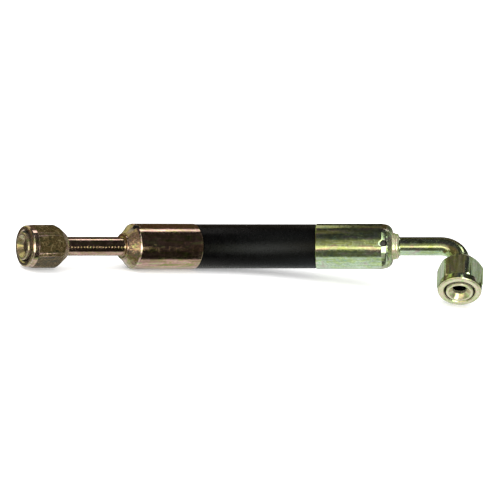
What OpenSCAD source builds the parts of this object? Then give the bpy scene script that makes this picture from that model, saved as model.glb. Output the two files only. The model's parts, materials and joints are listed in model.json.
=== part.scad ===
// Crimped hydraulic hose assembly: a short two-braid hose with a straight swivel
// end and a 90 degree swivel elbow end. Millimetres.
//
// Both ends are drawn along their own axis, with z = 0 at the mouth of the crimped
// ferrule and z growing away from the hose, and are then set on the ends of the
// hose's arc. on_bench() lays the whole assembly down on its three resting points.

/* [Hose] */
// Length of bare hose between the two ferrules, along its centreline
hose_free_len = 65; // [55:1:120]
// Angle that the hose is set to between its two ends
hose_bend = 32; // [10:1:40]
// Inside radius of the inner tube
hose_bore_r = 4.9; // [4.85:0.05:5.2]
// Thickness of the inner tube
inner_tube_t = 2.1; // [1.6:0.1:2.1]
// Thickness of each wire braid
braid_t = 0.7; // [0.4:0.05:0.75]
// Thickness of the rubber between the braids
insulation_t = 0.4; // [0.3:0.05:0.45]
// Outside radius of the cover
cover_r = 11.3; // [10.4:0.1:12]
// Gap between the hose's end and the insert's land inside the ferrule
hose_end_gap = 0.4; // [0.3:0.1:2]

/* [Ferrules] */
// Outside radius of the crimped shell
ferrule_r = 11.6; // [11.3:0.1:12.5]
// Length of both shells
shell_len = 40.1; // [39:0.1:46]
// Length of the left shell's conical shoulder
left_shoulder_len = 4.1; // [3:0.1:5]
// Length of the right shell's conical shoulder
right_shoulder_len = 1.8; // [1.6:0.1:4]
// Length of the short neck that ends the left shell
left_shell_neck_len = 0.2; // [0.1:0.1:1]
// Length of the short neck that ends the right shell
right_shell_neck_len = 0.9; // [0.1:0.1:1.5]
// Rounding between the left barrel and its shoulder
left_shoulder_round = 2; // [0.5:0.1:3]
// Rounding between the right barrel and its shoulder
right_shoulder_round = 3; // [0.5:0.1:3.2]
// Thickness of the shell's end wall, measured at its neck
end_wall = 3; // [2.6:0.1:3.5]
// Clearance between the hose's outer braid and the shell
crimp_clearance = 0.3; // [0.3:0.05:0.4]
// Running gap between the cover's end and the ferrule's mouth
mouth_gap = 0.3; // [0.3:0.05:0.6]
// Diameter of the two sight holes
sight_hole_d = 3.3; // [2:0.1:4]
// Distance of the sight holes' centre from the shell's neck end
sight_hole_setback = 5.1; // [4.8:0.1:7]
// Turn of the left ferrule's sight holes about its axis
left_sight_turn = 60; // [0:1:180]
// Turn of the right ferrule's sight holes about its axis
right_sight_turn = 172; // [0:1:180]

/* [Inserts] */
// Radius of the flow bore in both inserts
insert_bore_r = 3.3; // [2.8:0.1:3.5]
// Clearance between the barbs and the hose's bore
barb_clearance = 0.3; // [0.3:0.05:0.4]
// Height of the barbs
barb_h = 0.3; // [0.2:0.05:0.4]
// Number of barbs along each insert
barb_count = 7; // [4:1:9]
// Distance of the insert's tip from the ferrule's mouth
insert_tip = 1.5; // [0.5:0.1:4]
// Radius of the locking groove that holds the ferrule's end wall
groove_r = 5.9; // [5.6:0.05:6.1]
// Radius of the land inside the ferrule
land_r = 6.4; // [6.3:0.05:6.8]
// Thickness of the land inside the ferrule
land_t = 1; // [0.6:0.1:1.2]
// Radius of the collars outside the ferrules
collar_r = 6.7; // [6.5:0.1:7.5]
// Length of the left collar outside its ferrule
left_collar_len = 0.8; // [0.7:0.1:4]
// Length of the right collar outside its ferrule
right_collar_len = 2.3; // [2.2:0.1:4]
// Rounding of the right collar towards its tube
collar_round = 1.6; // [0.5:0.1:1.7]

/* [Left stem] */
// Radius of the turned neck
neck_r = 4.85; // [4.6:0.05:5.1]
// Length of bare neck between the collar and the left nut
neck_free_len = 32.8; // [20:0.1:60]
// Length that the left nose stands out of its nut
left_nose_proud = 1.2; // [0.5:0.1:3]
// Pitch of the turned rings along the bare neck
ring_pitch = 1.75; // [1.2:0.05:3]
// Depth of the turned rings
ring_depth = 0.06; // [0.05:0.01:0.25]

/* [Elbow tube] */
// Outside radius of the tube, 3/8 in
tube_r = 4.7625; // [4.6:0.0025:4.8]
// Inside radius of the tube
tube_bore_r = 3.5; // [3.2:0.1:3.8]
// Length of straight tube between the collar and the elbow
tube_straight_len = 21; // [10:0.1:60]
// Centreline radius of the elbow
elbow_r = 10.5; // [10:0.1:14]
// Turn of the leg out of the hose's bend plane's normal
leg_clock = 39; // [0:1:90]
// Length that the right nut reaches back over the end of the bend
nut_over_elbow = 0.1; // [0:0.1:1.2]
// Length that the right nose stands out of its nut
right_nose_proud = 0.5; // [0.5:0.1:3]
// Depth of the tube in the insert's socket
insert_socket = 5.7; // [3:0.1:6]
// Clearance of the tube in its brazed sockets
braze_clearance = 0.05; // [0.03:0.01:0.1]
// Size of the braze fillets
braze_fillet = 0.5; // [0.3:0.05:0.8]

/* [Swivel nuts] */
// Width of the left nut across its flats, 3/4 in
left_nut_af = 19.05; // [19:0.05:20.5]
// Width of the right nut across its flats, 13/16 in
right_nut_af = 20.64; // [20:0.01:21.4]
// Length of the left nut
left_nut_len = 22.2; // [20:0.1:25]
// Length of the right nut
right_nut_len = 19.4; // [17:0.1:20]
// Length of the left nut's rear cone
left_cone_len = 5.5; // [4:0.1:7]
// Length of the right nut's rear cone
right_cone_len = 5.1; // [3:0.1:6]
// Radius of the left nut's round front collar
left_nut_collar_r = 10.6; // [10.3:0.1:11]
// Radius of the right nut's round front collar
right_nut_collar_r = 11.2; // [10.8:0.1:11.6]
// Length of the round front collar of both nuts
nut_collar_len = 3.5; // [2:0.1:5]
// Radius of the left nut's rear face
left_nut_rear_r = 6.6; // [6.2:0.1:7.5]
// Radius of the right nut's rear face
right_nut_rear_r = 7.3; // [6.2:0.1:8]
// Minor radius of the 5/8-18 UNF internal thread
thread_minor_r = 7.25; // [7.2:0.05:7.4]
// Depth of the internal thread
thread_depth = 11; // [8:0.1:12]
// Clearance between the nut's rear hole and the neck
nut_clearance = 0.35; // [0.3:0.05:0.6]
// Turn of the left nut about its axis at rest
left_nut_turn = 4.6; // [0:0.1:60]
// Turn of the right nut about its axis at rest
right_nut_turn = 6; // [0:0.1:60]

/* [Noses] */
// Radius of the nose
nose_r = 6.9; // [6.6:0.05:6.95]
// Length of the nose's straight rim
nose_rim_len = 4.2; // [3:0.1:5]
// Width of the nose's flat front rim
nose_rim_w = 1.2; // [0.8:0.1:1.6]

/* [Resting place] */
// Rotation of the assembly about X, Y and Z that lays it on its resting points
bench_turn = [-14.68, -4.16, 11.69];
// Shift that puts the resting points at z = 0 and centres the outline
bench_shift = [1.43, 24.92, 12.79];

/* [Hidden] */
$fn = 96;
eps = 0.01;
layer_gap = 0.02;   // keeps the faces of neighbouring hose layers apart
edge = 0.4;         // small chamfer on turned edges
seat_angle = 45;    // flare seat, and the nut's inner shoulder
swage = 0.05;       // clearance of the ferrule's end wall in the locking groove
ferrule_lip = 0.2;  // the shoulder ends this far outside the collar
tip_cone = 1;       // length of the insert's lead-in and of the first ring's setback
socket_wall = 0.25; // wall left round the nose's socket at its back
nose_web = 1.8;     // length of bore between the nose's seat and its socket
thread_lead = 1.2;  // chamfer at the mouth of the thread
past = 1;           // how far helper shapes run past what they cut or join

bend_r = hose_free_len / (hose_bend * PI / 180);
half_bend = hose_bend / 2;

inner_tube_r = hose_bore_r + inner_tube_t;
braid_inner_r = inner_tube_r + braid_t;
insulation_r = braid_inner_r + insulation_t;
braid_outer_r = insulation_r + braid_t;

shell_bore_r = braid_outer_r + crimp_clearance;
shell_depth = shell_len - end_wall;
shell_neck_r = collar_r + ferrule_lip;
shell_hole_r = groove_r + swage;

barb_r = hose_bore_r - barb_clearance;
root_r = barb_r - barb_h;
land_z = shell_depth - land_t;
hose_depth = land_z - hose_end_gap;
left_collar_end = shell_len + left_collar_len;
right_collar_end = shell_len + right_collar_len;
barb_pitch = (land_z - insert_tip) / (barb_count + 0.5);

nose_seat_r = nose_r - nose_rim_w;
nut_hole_r = neck_r + nut_clearance;
left_face_z = left_collar_end + neck_free_len + left_nut_len;
left_nose_z = left_face_z + left_nose_proud;
ring_count = floor(neck_free_len / ring_pitch);

bend_start_z = right_collar_end + tube_straight_len;
leg_axis_z = bend_start_z + elbow_r;
right_face_d = elbow_r - nut_over_elbow + right_nut_len;
right_nose_d = right_face_d + right_nose_proud;
right_seat_depth = (nose_seat_r - tube_bore_r) / tan(seat_angle);
right_socket_depth = right_seat_depth + nose_web;
tube_end_d = right_nose_d - right_socket_depth;
socket_r = tube_r + braze_clearance;
nose_tail_r = socket_r + socket_wall;
right_nose_len = nose_rim_len + nose_r - nose_tail_r;

// ---------------------------------------------------------------- places

// Lays the assembly down on the surface that it rests on.
module on_bench() {
    translate(bench_shift) rotate(bench_turn) children();
}

// Turns about the centre of the hose's arc, so that 0 is the middle of the hose.
module along_hose(angle) {
    translate([0, -bend_r, 0]) rotate([0, 0, -angle]) translate([0, bend_r, 0]) children();
}

// The left fitting's own axis: +Z out of the hose, +X along the bend plane's normal.
module at_left() {
    on_bench() along_hose(-half_bend) rotate([0, -90, 0]) children();
}

// The right fitting's own axis: +Z out of the hose, -X along the bend plane's normal.
module at_right() {
    on_bench() along_hose(half_bend) rotate([0, 90, 0]) children();
}

// The elbow's plane: the leg leaves along +X.
module in_leg_plane() {
    at_right() rotate([0, 0, -leg_clock]) children();
}

// The leg's own axis: +Z out of the elbow, 0 on the axis of the straight tube.
module at_leg() {
    in_leg_plane() translate([0, 0, leg_axis_z]) rotate([0, 90, 0]) children();
}

// ---------------------------------------------------------------- shared shapes

// A straight tube from z = 0 up.
module pipe(r_out, r_in, len) {
    difference() {
        cylinder(r = r_out, h = len);
        translate([0, 0, -eps]) cylinder(r = r_in, h = len + 2 * eps);
    }
}

// The bent stretch of one hose layer, shortened by trim at each end.
module hose_arc(r_out, r_in, trim) {
    trim_angle = trim / bend_r * 180 / PI;
    translate([0, -bend_r, 0])
        rotate([0, 0, 90 - half_bend + trim_angle])
            rotate_extrude(angle = hose_bend - 2 * trim_angle)
                translate([bend_r, 0])
                    difference() {
                        circle(r_out);
                        circle(r_in);
                    }
}

// A whole hose layer: its arc and the two ends that are crimped in the ferrules.
module hose_layer(r_out, r_in) {
    on_bench() hose_arc(r_out, r_in, 0);
    at_left() pipe(r_out, r_in, hose_depth);
    at_right() pipe(r_out, r_in, hose_depth);
}

// The crimped shell: barrel, conical shoulder, short neck, end wall and two sight holes.
module ferrule(shoulder_len, shoulder_round, neck_len, sight_turn) {
    steps = 8;
    neck_z = shell_len - neck_len;
    slope = atan((ferrule_r - shell_neck_r) / shoulder_len);
    round_start = neck_z - shoulder_len - shoulder_round * tan(slope / 2);
    shoulder = [for (i = [0:steps])
        let (t = slope * i / steps)
        [ferrule_r - shoulder_round * (1 - cos(t)), round_start + shoulder_round * sin(t)]];
    mouth = [[shell_bore_r + edge, 0], [ferrule_r - edge, 0], [ferrule_r, edge]];
    neck = [[shell_neck_r, neck_z], [shell_neck_r, shell_len]];
    inside = [[shell_hole_r, shell_len], [shell_hole_r, shell_depth],
              [shell_bore_r, shell_depth], [shell_bore_r, edge]];
    difference() {
        rotate_extrude() polygon(concat(mouth, shoulder, neck, inside));
        rotate([0, 0, sight_turn])
            translate([0, 0, shell_len - sight_hole_setback])
                rotate([90, 0, 0])
                    cylinder(d = sight_hole_d, h = 3 * ferrule_r, center = true);
    }
}

// Outline of the barbed insert from its tip to its collar, as [radius, z] points.
function insert_outline() = concat(
    [[insert_bore_r, insert_tip], [insert_bore_r + edge, insert_tip], [root_r, insert_tip + tip_cone]],
    [for (i = [0:barb_count - 1])
        let (z = insert_tip + tip_cone + i * barb_pitch)
        each [[root_r, z + 0.2 * barb_pitch], [barb_r, z + 0.85 * barb_pitch],
              [barb_r, z + 0.95 * barb_pitch], [root_r, z + barb_pitch]]],
    [[root_r, land_z], [land_r, land_z], [land_r, shell_depth],
     [groove_r, shell_depth], [groove_r, shell_len]]
);

// Outline of the nose from its back cone to its seat, with its front at z.
function nose_outline(z, back_r, bore_r) = [
    [back_r, z - nose_rim_len - (nose_r - back_r)],
    [nose_r, z - nose_rim_len],
    [nose_r, z - edge], [nose_r - edge, z],
    [nose_seat_r, z],
    [bore_r, z - (nose_seat_r - bore_r) / tan(seat_angle)]
];

// Swivel nut with its front face at z = 0 and its body below.
module swivel_nut(across_flats, len, collar_r, rear_r, cone_len) {
    flat_r = across_flats / 2;
    corner_r = flat_r / cos(30);
    step = collar_r - flat_r;
    cone_slope = cone_len / (corner_r - rear_r);
    difference() {
        union() {
            // round front collar, chamfered down to the flats
            rotate_extrude() polygon([
                [0, 0], [collar_r - 2 * edge, 0], [collar_r, -2 * edge],
                [collar_r, -nut_collar_len],
                [flat_r - past, -nut_collar_len - step - past], [0, -nut_collar_len - step - past]
            ]);
            // hexagon, turned to a cone at the rear and chamfered at the collar
            intersection() {
                translate([0, 0, -len]) cylinder(r = corner_r, h = len, $fn = 6);
                rotate_extrude() polygon([
                    [0, -nut_collar_len], [collar_r, -nut_collar_len],
                    [corner_r + past, -nut_collar_len - (corner_r + past - collar_r)],
                    [corner_r + past, -len + cone_slope * (corner_r + past - rear_r)],
                    [rear_r, -len], [0, -len]
                ]);
            }
        }
        nut_bore(len);
    }
}

// Thread bore, 45 degree inner shoulder and rear hole of a swivel nut.
module nut_bore(len) {
    rotate_extrude() polygon([
        [0, past], [thread_minor_r + thread_lead + past, past], [thread_minor_r, -thread_lead],
        [thread_minor_r, -thread_depth],
        [nut_hole_r, -thread_depth - (thread_minor_r - nut_hole_r) / tan(seat_angle)],
        [nut_hole_r, -len + edge], [nut_hole_r + 2 * edge, -len - edge], [0, -len - edge]
    ]);
}

// Braze fillet round the tube at z = 0, against a face below it.
module braze_ring(face_r) {
    r_in = tube_r;
    rotate_extrude() polygon([
        [r_in, 0], [face_r, 0], [r_in + 0.4 * (face_r - r_in), 0.3 * braze_fillet], [r_in, braze_fillet]
    ]);
}

// ---------------------------------------------------------------- hose

module hose_inner_tube() {
    color([0.09, 0.09, 0.10]) hose_layer(inner_tube_r - layer_gap, hose_bore_r);
}

module hose_braid_inner() {
    color([0.62, 0.60, 0.55]) hose_layer(braid_inner_r - layer_gap, inner_tube_r);
}

module hose_insulation() {
    color([0.16, 0.15, 0.15]) hose_layer(insulation_r - layer_gap, braid_inner_r);
}

module hose_braid_outer() {
    color([0.66, 0.64, 0.58]) hose_layer(braid_outer_r - layer_gap, insulation_r);
}

module hose_cover() {
    color([0.07, 0.08, 0.08]) on_bench() hose_arc(cover_r, braid_outer_r, mouth_gap);
}

// ---------------------------------------------------------------- left end

module left_ferrule() {
    color([0.55, 0.45, 0.28]) at_left()
        ferrule(left_shoulder_len, left_shoulder_round, left_shell_neck_len, left_sight_turn);
}

module left_stem() {
    rings = [for (i = [0:ring_count - 1])
        let (z = left_collar_end + tip_cone + i * ring_pitch)
        each [[neck_r, z], [neck_r - ring_depth, z + 0.2 * ring_pitch],
              [neck_r - ring_depth, z + 0.5 * ring_pitch], [neck_r, z + 0.7 * ring_pitch]]];
    collar = [[collar_r, shell_len], [collar_r, left_collar_end - edge], [collar_r - edge, left_collar_end],
              [neck_r, left_collar_end]];
    color([0.62, 0.54, 0.30]) at_left()
        rotate_extrude()
            polygon(concat(insert_outline(), collar, rings,
                           nose_outline(left_nose_z, neck_r, insert_bore_r)));
}

module left_nut() {
    color([0.50, 0.42, 0.26]) at_left()
        translate([0, 0, left_face_z])
            rotate([0, 0, left_nut_turn])
                swivel_nut(left_nut_af, left_nut_len, left_nut_collar_r, left_nut_rear_r, left_cone_len);
}

// ---------------------------------------------------------------- right end

module right_ferrule() {
    color([0.62, 0.62, 0.36]) at_right()
        ferrule(right_shoulder_len, right_shoulder_round, right_shell_neck_len, right_sight_turn);
}

module right_insert() {
    steps = 12;
    rounding = [for (i = [0:steps])
        let (t = 90 * i / steps)
        [collar_r - collar_round * (1 - cos(t)), right_collar_end - collar_round * (1 - sin(t))]];
    socket = [[socket_r, right_collar_end], [socket_r, right_collar_end - insert_socket],
              [insert_bore_r, right_collar_end - insert_socket]];
    color([0.62, 0.58, 0.34]) at_right()
        rotate_extrude()
            polygon(concat(insert_outline(), [[collar_r, shell_len]], rounding, socket));
}

module right_insert_braze() {
    color([0.78, 0.72, 0.48]) at_right()
        translate([0, 0, right_collar_end]) braze_ring(collar_r - collar_round);
}

module right_elbow_tube() {
    color([0.66, 0.66, 0.40]) in_leg_plane()
        difference() {
            elbow_rod(tube_r, 0);
            elbow_rod(tube_bore_r, eps);
        }
}

// The elbow tube's path as a rod of radius r, longer by over at both ends.
module elbow_rod(r, over) {
    foot_z = right_collar_end - insert_socket - over;
    translate([0, 0, foot_z]) cylinder(r = r, h = bend_start_z - foot_z);
    translate([elbow_r, 0, bend_start_z])
        rotate([90, 0, 0]) rotate([0, 0, 90])
            rotate_extrude(angle = 90) translate([elbow_r, 0]) circle(r);
    translate([elbow_r, 0, leg_axis_z])
        rotate([0, 90, 0]) cylinder(r = r, h = tube_end_d + over - elbow_r);
}

module right_nose() {
    back_z = right_nose_d - right_nose_len;
    socket = [[tube_bore_r, tube_end_d], [socket_r, tube_end_d], [socket_r, back_z]];
    color([0.70, 0.70, 0.48]) at_leg()
        rotate_extrude()
            polygon(concat(nose_outline(right_nose_d, nose_tail_r, tube_bore_r), socket));
}

module right_nose_braze() {
    color([0.78, 0.72, 0.48]) at_leg()
        translate([0, 0, right_nose_d - right_nose_len]) mirror([0, 0, 1]) braze_ring(nose_tail_r);
}

module right_nut() {
    color([0.60, 0.62, 0.38]) at_leg()
        translate([0, 0, right_face_d])
            rotate([0, 0, right_nut_turn])
                swivel_nut(right_nut_af, right_nut_len, right_nut_collar_r, right_nut_rear_r,
                           right_cone_len);
}

// ---------------------------------------------------------------- assembly

hose_inner_tube();
hose_braid_inner();
hose_insulation();
hose_braid_outer();
hose_cover();
left_ferrule();
left_stem();
left_nut();
right_ferrule();
right_insert();
right_insert_braze();
right_elbow_tube();
right_nose();
right_nose_braze();
right_nut();
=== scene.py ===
import json
import math

import bmesh
import bpy
from mathutils import Matrix, Vector


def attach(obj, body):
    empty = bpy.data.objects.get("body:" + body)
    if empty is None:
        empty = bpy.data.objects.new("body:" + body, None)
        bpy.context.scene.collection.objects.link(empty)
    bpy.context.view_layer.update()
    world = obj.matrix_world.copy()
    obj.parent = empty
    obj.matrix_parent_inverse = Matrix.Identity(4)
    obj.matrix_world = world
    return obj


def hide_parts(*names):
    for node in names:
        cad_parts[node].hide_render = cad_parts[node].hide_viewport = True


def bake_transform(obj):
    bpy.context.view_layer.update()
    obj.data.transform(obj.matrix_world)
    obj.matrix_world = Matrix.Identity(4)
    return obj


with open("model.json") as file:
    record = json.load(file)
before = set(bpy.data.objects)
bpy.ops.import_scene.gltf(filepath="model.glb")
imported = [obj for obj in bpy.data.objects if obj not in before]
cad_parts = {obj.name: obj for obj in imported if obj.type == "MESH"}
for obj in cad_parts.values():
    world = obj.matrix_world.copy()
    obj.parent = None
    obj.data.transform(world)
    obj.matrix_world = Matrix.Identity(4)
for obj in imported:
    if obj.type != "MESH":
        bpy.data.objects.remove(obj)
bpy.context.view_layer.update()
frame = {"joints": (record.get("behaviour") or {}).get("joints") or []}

# A crimped hydraulic hose with a straight swivel end (left) and a 90 degree swivel elbow (right).
# Lengths are in millimetres until a mesh, a light or the camera is placed. Each fitting is drawn
# along its own axis: z is 0 at the shell's mouth and grows away from the hose. A nut's z is 0 at
# its front face. In the names, R is a radius, T a wall and D a distance along the elbow's leg.
MM = 0.001
QUARTER_TURN = math.radians(90)

# ---------------------------------------------------------------- sizes that the solids have too

# The hose, from its bore outwards.
HOSE_FREE_LEN = 65.0
HOSE_BEND = math.radians(32)
HOSE_BORE_R = 4.9
INNER_TUBE_T = 2.1
BRAID_T = 0.7
INSULATION_T = 0.4
COVER_R = 11.3
LAYER_GAP = 0.02
MOUTH_GAP = 0.3
HOSE_END_GAP = 0.4

# The crimped shells.
FERRULE_R = 11.6
FERRULE_LEN = 40.1
LEFT_SHELL_NECK_LEN = 0.2
RIGHT_SHELL_NECK_LEN = 0.9
END_WALL = 3.0
CRIMP_CLEARANCE = 0.3
FERRULE_LIP = 0.2
SIGHT_HOLE_R = 1.65
SIGHT_HOLE_SETBACK = 5.1
RIGHT_SIGHT_TURN = math.radians(172)

# The barbed inserts and their collars.
INSERT_BORE_R = 3.3
BARB_CLEARANCE = 0.3
BARB_H = 0.3
BARB_COUNT = 7
INSERT_TIP = 1.5
TIP_CONE = 1.0
GROOVE_R = 5.9
SWAGE = 0.05
LAND_R = 6.4
LAND_T = 1.0
COLLAR_R = 6.7
LEFT_COLLAR_LEN = 0.8
RIGHT_COLLAR_LEN = 2.3
COLLAR_ROUND = 1.6

# The left stem's neck.
NECK_R = 4.85
NECK_FREE_LEN = 32.8
RING_PITCH = 1.75
LEFT_NOSE_PROUD = 1.2

# The elbow tube and its brazed sockets.
TUBE_R = 4.7625
TUBE_BORE_R = 3.5
TUBE_STRAIGHT_LEN = 21.0
ELBOW_R = 10.5
NUT_OVER_ELBOW = 0.1
RIGHT_NOSE_PROUD = 0.5
INSERT_SOCKET = 5.7
BRAZE_CLEARANCE = 0.05
BRAZE_FILLET = 0.5
SOCKET_WALL = 0.25

# The swivel nuts.
LEFT_NUT_FLAT_R = 9.525
RIGHT_NUT_FLAT_R = 10.32
LEFT_NUT_LEN = 22.2
RIGHT_NUT_LEN = 19.4
LEFT_CONE_LEN = 5.5
RIGHT_CONE_LEN = 5.1
LEFT_NUT_COLLAR_R = 10.6
RIGHT_NUT_COLLAR_R = 11.2
NUT_COLLAR_LEN = 3.5
LEFT_NUT_REAR_R = 6.6
RIGHT_NUT_REAR_R = 7.3
NUT_CLEARANCE = 0.35
THREAD_MINOR_R = 7.25
THREAD_DEPTH = 11.0
THREAD_LEAD = 1.2
LEFT_NUT_TURN = math.radians(4.6)
RIGHT_NUT_TURN = math.radians(6)

# The flare noses.
NOSE_R = 6.9
NOSE_RIM_LEN = 4.2
NOSE_RIM_W = 1.2
NOSE_WEB = 1.8

# What follows from them.
INNER_TUBE_R = HOSE_BORE_R + INNER_TUBE_T
BRAID_INNER_R = INNER_TUBE_R + BRAID_T
INSULATION_R = BRAID_INNER_R + INSULATION_T
BRAID_OUTER_R = INSULATION_R + BRAID_T
SHELL_BORE_R = BRAID_OUTER_R + CRIMP_CLEARANCE
SHELL_DEPTH = FERRULE_LEN - END_WALL
SHELL_NECK_R = COLLAR_R + FERRULE_LIP
SIGHT_HOLE_Z = FERRULE_LEN - SIGHT_HOLE_SETBACK
BARB_R = HOSE_BORE_R - BARB_CLEARANCE
LAND_Z = SHELL_DEPTH - LAND_T
HOSE_DEPTH = LAND_Z - HOSE_END_GAP
LEFT_COLLAR_END = FERRULE_LEN + LEFT_COLLAR_LEN
RIGHT_COLLAR_END = FERRULE_LEN + RIGHT_COLLAR_LEN
LEFT_FACE_Z = LEFT_COLLAR_END + NECK_FREE_LEN + LEFT_NUT_LEN
BEND_START_Z = RIGHT_COLLAR_END + TUBE_STRAIGHT_LEN
LEG_AXIS_Z = BEND_START_Z + ELBOW_R
RIGHT_FACE_D = ELBOW_R - NUT_OVER_ELBOW + RIGHT_NUT_LEN
RIGHT_NOSE_D = RIGHT_FACE_D + RIGHT_NOSE_PROUD
TUBE_END_D = RIGHT_NOSE_D - (NOSE_R - NOSE_RIM_W - TUBE_BORE_R + NOSE_WEB)
SOCKET_R = TUBE_R + BRAZE_CLEARANCE
NOSE_TAIL_R = SOCKET_R + SOCKET_WALL
RIGHT_NOSE_BACK_D = RIGHT_NOSE_D - NOSE_RIM_LEN - (NOSE_R - NOSE_TAIL_R)
NUT_HOLE_R = NECK_R + NUT_CLEARANCE
NUT_SEAT_LEN = THREAD_MINOR_R - NUT_HOLE_R

# ---------------------------------------------------------------- places, from the frame

joints = {j["name"]: j for j in frame["joints"]}


def joint_axis(name):
    return Vector(joints[name]["axis"]).normalized()


left_axis = joint_axis("left_nut_spin")
leg_axis = joint_axis("right_nut_spin")
bend_normal = -joint_axis("hose_flex_left")
right_axis = leg_axis.cross(bend_normal).normalized()
if right_axis.dot(left_axis) > 0:   # the right end points away from the left one
    right_axis.negate()

left_face = Vector(joints["left_nut_spin"]["pos_m"])
right_face = Vector(joints["right_nut_spin"]["pos_m"])
left_mouth = left_face - left_axis * LEFT_FACE_Z * MM
elbow = right_face - leg_axis * RIGHT_FACE_D * MM
right_mouth = elbow - right_axis * LEG_AXIS_Z * MM

bend_r = HOSE_FREE_LEN / HOSE_BEND
inward = (left_axis + right_axis).normalized()
along = (right_mouth - left_mouth).normalized()
arc_centre = (left_mouth + right_mouth) / 2 + inward * bend_r * math.cos(HOSE_BEND / 2) * MM
mid_hose = arc_centre - inward * bend_r * MM


def place(origin, z, x):
    """The matrix that stands a piece at origin with its own Z and X along those directions."""
    y = z.cross(x)
    return Matrix.Translation(origin) @ Matrix((x, y, z)).transposed().to_4x4()


at_left = place(left_mouth, left_axis, bend_normal)
at_right = place(right_mouth, right_axis, -bend_normal)
at_leg = place(elbow, leg_axis, -right_axis)
at_left_nut = place(left_face, left_axis, bend_normal) @ Matrix.Rotation(LEFT_NUT_TURN, 4, "Z")
at_right_nut = place(right_face, leg_axis, -right_axis) @ Matrix.Rotation(RIGHT_NUT_TURN, 4, "Z")

# ---------------------------------------------------------------- camera

PHOTO_SIDE_PX = 500
MM_PER_PX = 0.5086
LEFT_MOUTH_PX = (193.2, 246.3)
CAMERA_TURN = math.radians(4)
CAMERA_DISTANCE = 4000
SENSOR = 36
CLIP_START_M = 0.05
CLIP_END_M = 20

cam_right = Matrix.Rotation(CAMERA_TURN, 3, bend_normal) @ right_axis
cam_up = bend_normal
cam_back = cam_right.cross(cam_up)


def camera_direction(x, y, z):
    """A direction given to the camera's right, up and back, in the row frame."""
    return (cam_right * x + cam_up * y + cam_back * z).normalized()


def add_camera():
    """Puts the left shell's mouth on its pixel, at the photo's scale."""
    offset_x = (PHOTO_SIDE_PX / 2 - LEFT_MOUTH_PX[0]) * MM_PER_PX
    offset_y = (PHOTO_SIDE_PX / 2 - LEFT_MOUTH_PX[1]) * MM_PER_PX
    target = left_mouth + (cam_right * offset_x - cam_up * offset_y) * MM
    data = bpy.data.cameras.new("camera")
    data.sensor_width = SENSOR
    data.lens = SENSOR * CAMERA_DISTANCE / (PHOTO_SIDE_PX * MM_PER_PX)
    data.clip_start = CLIP_START_M
    data.clip_end = CLIP_END_M
    camera = bpy.data.objects.new("camera", data)
    camera.matrix_world = place(target + cam_back * CAMERA_DISTANCE * MM, cam_back, cam_right)
    bpy.context.collection.objects.link(camera)
    bpy.context.scene.camera = camera


add_camera()

# ---------------------------------------------------------------- shader helper


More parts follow.
